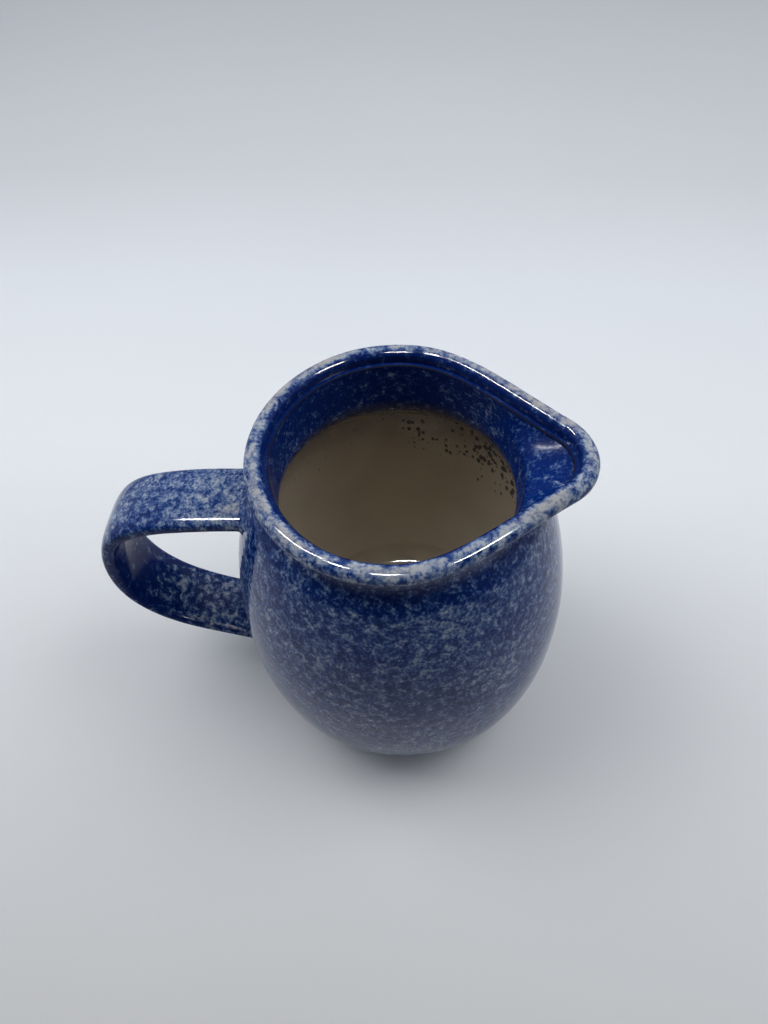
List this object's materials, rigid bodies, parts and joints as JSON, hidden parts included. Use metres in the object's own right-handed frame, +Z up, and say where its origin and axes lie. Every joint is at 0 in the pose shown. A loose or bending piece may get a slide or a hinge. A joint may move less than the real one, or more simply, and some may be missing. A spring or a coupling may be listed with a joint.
{
  "type": "ceramic pitcher",
  "caption": "Round-bellied stoneware pitcher with a short neck, a rolled rim drawn out to a pouring spout, and a flat strap handle, in sponged blue glaze.",
  "frame": {"origin": "centre of the flat foot, on the axis of the belly, at the standing plane", "axes": "+Z up, +X towards the spout tip, handle on -X, so the XZ plane is the pitcher's plane of symmetry"},
  "size_m": [0.2108, 0.1476, 0.175],
  "materials": {
    "sponged_blue_glaze": "glossy clear glaze over cobalt blue sponged on a grey-cream ground",
    "rim_glaze": "glossy clear glaze, thinner over the rim so the cream ground shows through the blue",
    "bare_stoneware": "unglazed fired stoneware, matt and slightly gritty, with cream liner glaze on its upper face inside"
  },
  "bodies": {
    "root": {"base_floor": "bare_stoneware", "belly_wall": "sponged_blue_glaze", "shoulder_wall": "sponged_blue_glaze", "neck_collar": "sponged_blue_glaze", "spout_beak": "sponged_blue_glaze", "rim_roll": "rim_glaze", "handle_strap": "sponged_blue_glaze", "handle_joint_upper": "sponged_blue_glaze", "handle_joint_lower": "sponged_blue_glaze"}
  },
  "joints": []
}
